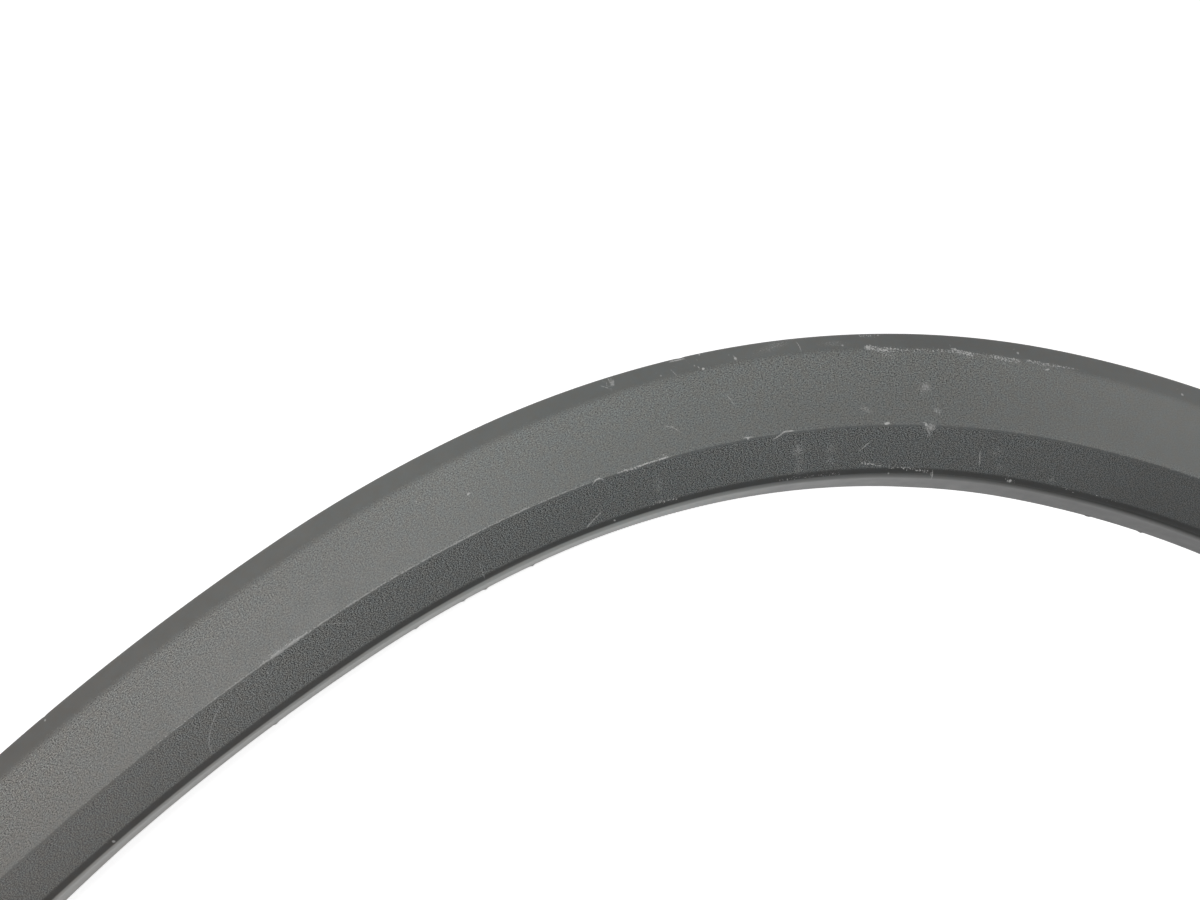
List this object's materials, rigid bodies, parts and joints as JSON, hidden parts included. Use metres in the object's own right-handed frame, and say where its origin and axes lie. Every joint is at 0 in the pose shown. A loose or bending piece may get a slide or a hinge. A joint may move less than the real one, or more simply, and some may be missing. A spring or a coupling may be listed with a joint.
{
  "type": "wheel arch trim",
  "caption": "Grained dark plastic wheel arch trim with a bevelled edge, a ridged face, a turned-down return flange and push-in clips behind.",
  "frame": {"origin": "centre of the bounding box on the plane of the return flange's rim, which the trim lies on", "axes": "+X along the car, the trim's longest extent; +Y from the wheel towards the crown of the arch; +Z out of the trim's face"},
  "size_m": [0.9996, 0.449, 0.0359],
  "materials": {
    "grained_plastic": "leather-grained moulded polypropylene, scuffed in use",
    "clip_nylon": "natural moulded nylon",
    "seal_rubber": "soft closed-cell ring"
  },
  "bodies": {
    "root": {"arch_moulding": "grained_plastic", "retaining_clip_1": "clip_nylon", "retaining_clip_2": "clip_nylon", "retaining_clip_3": "clip_nylon", "retaining_clip_4": "clip_nylon", "retaining_clip_5": "clip_nylon", "retaining_clip_6": "clip_nylon", "retaining_clip_7": "clip_nylon", "retaining_clip_8": "clip_nylon", "clip_seal_1": "seal_rubber", "clip_seal_2": "seal_rubber", "clip_seal_3": "seal_rubber", "clip_seal_4": "seal_rubber", "clip_seal_5": "seal_rubber", "clip_seal_6": "seal_rubber", "clip_seal_7": "seal_rubber", "clip_seal_8": "seal_rubber"}
  },
  "joints": []
}
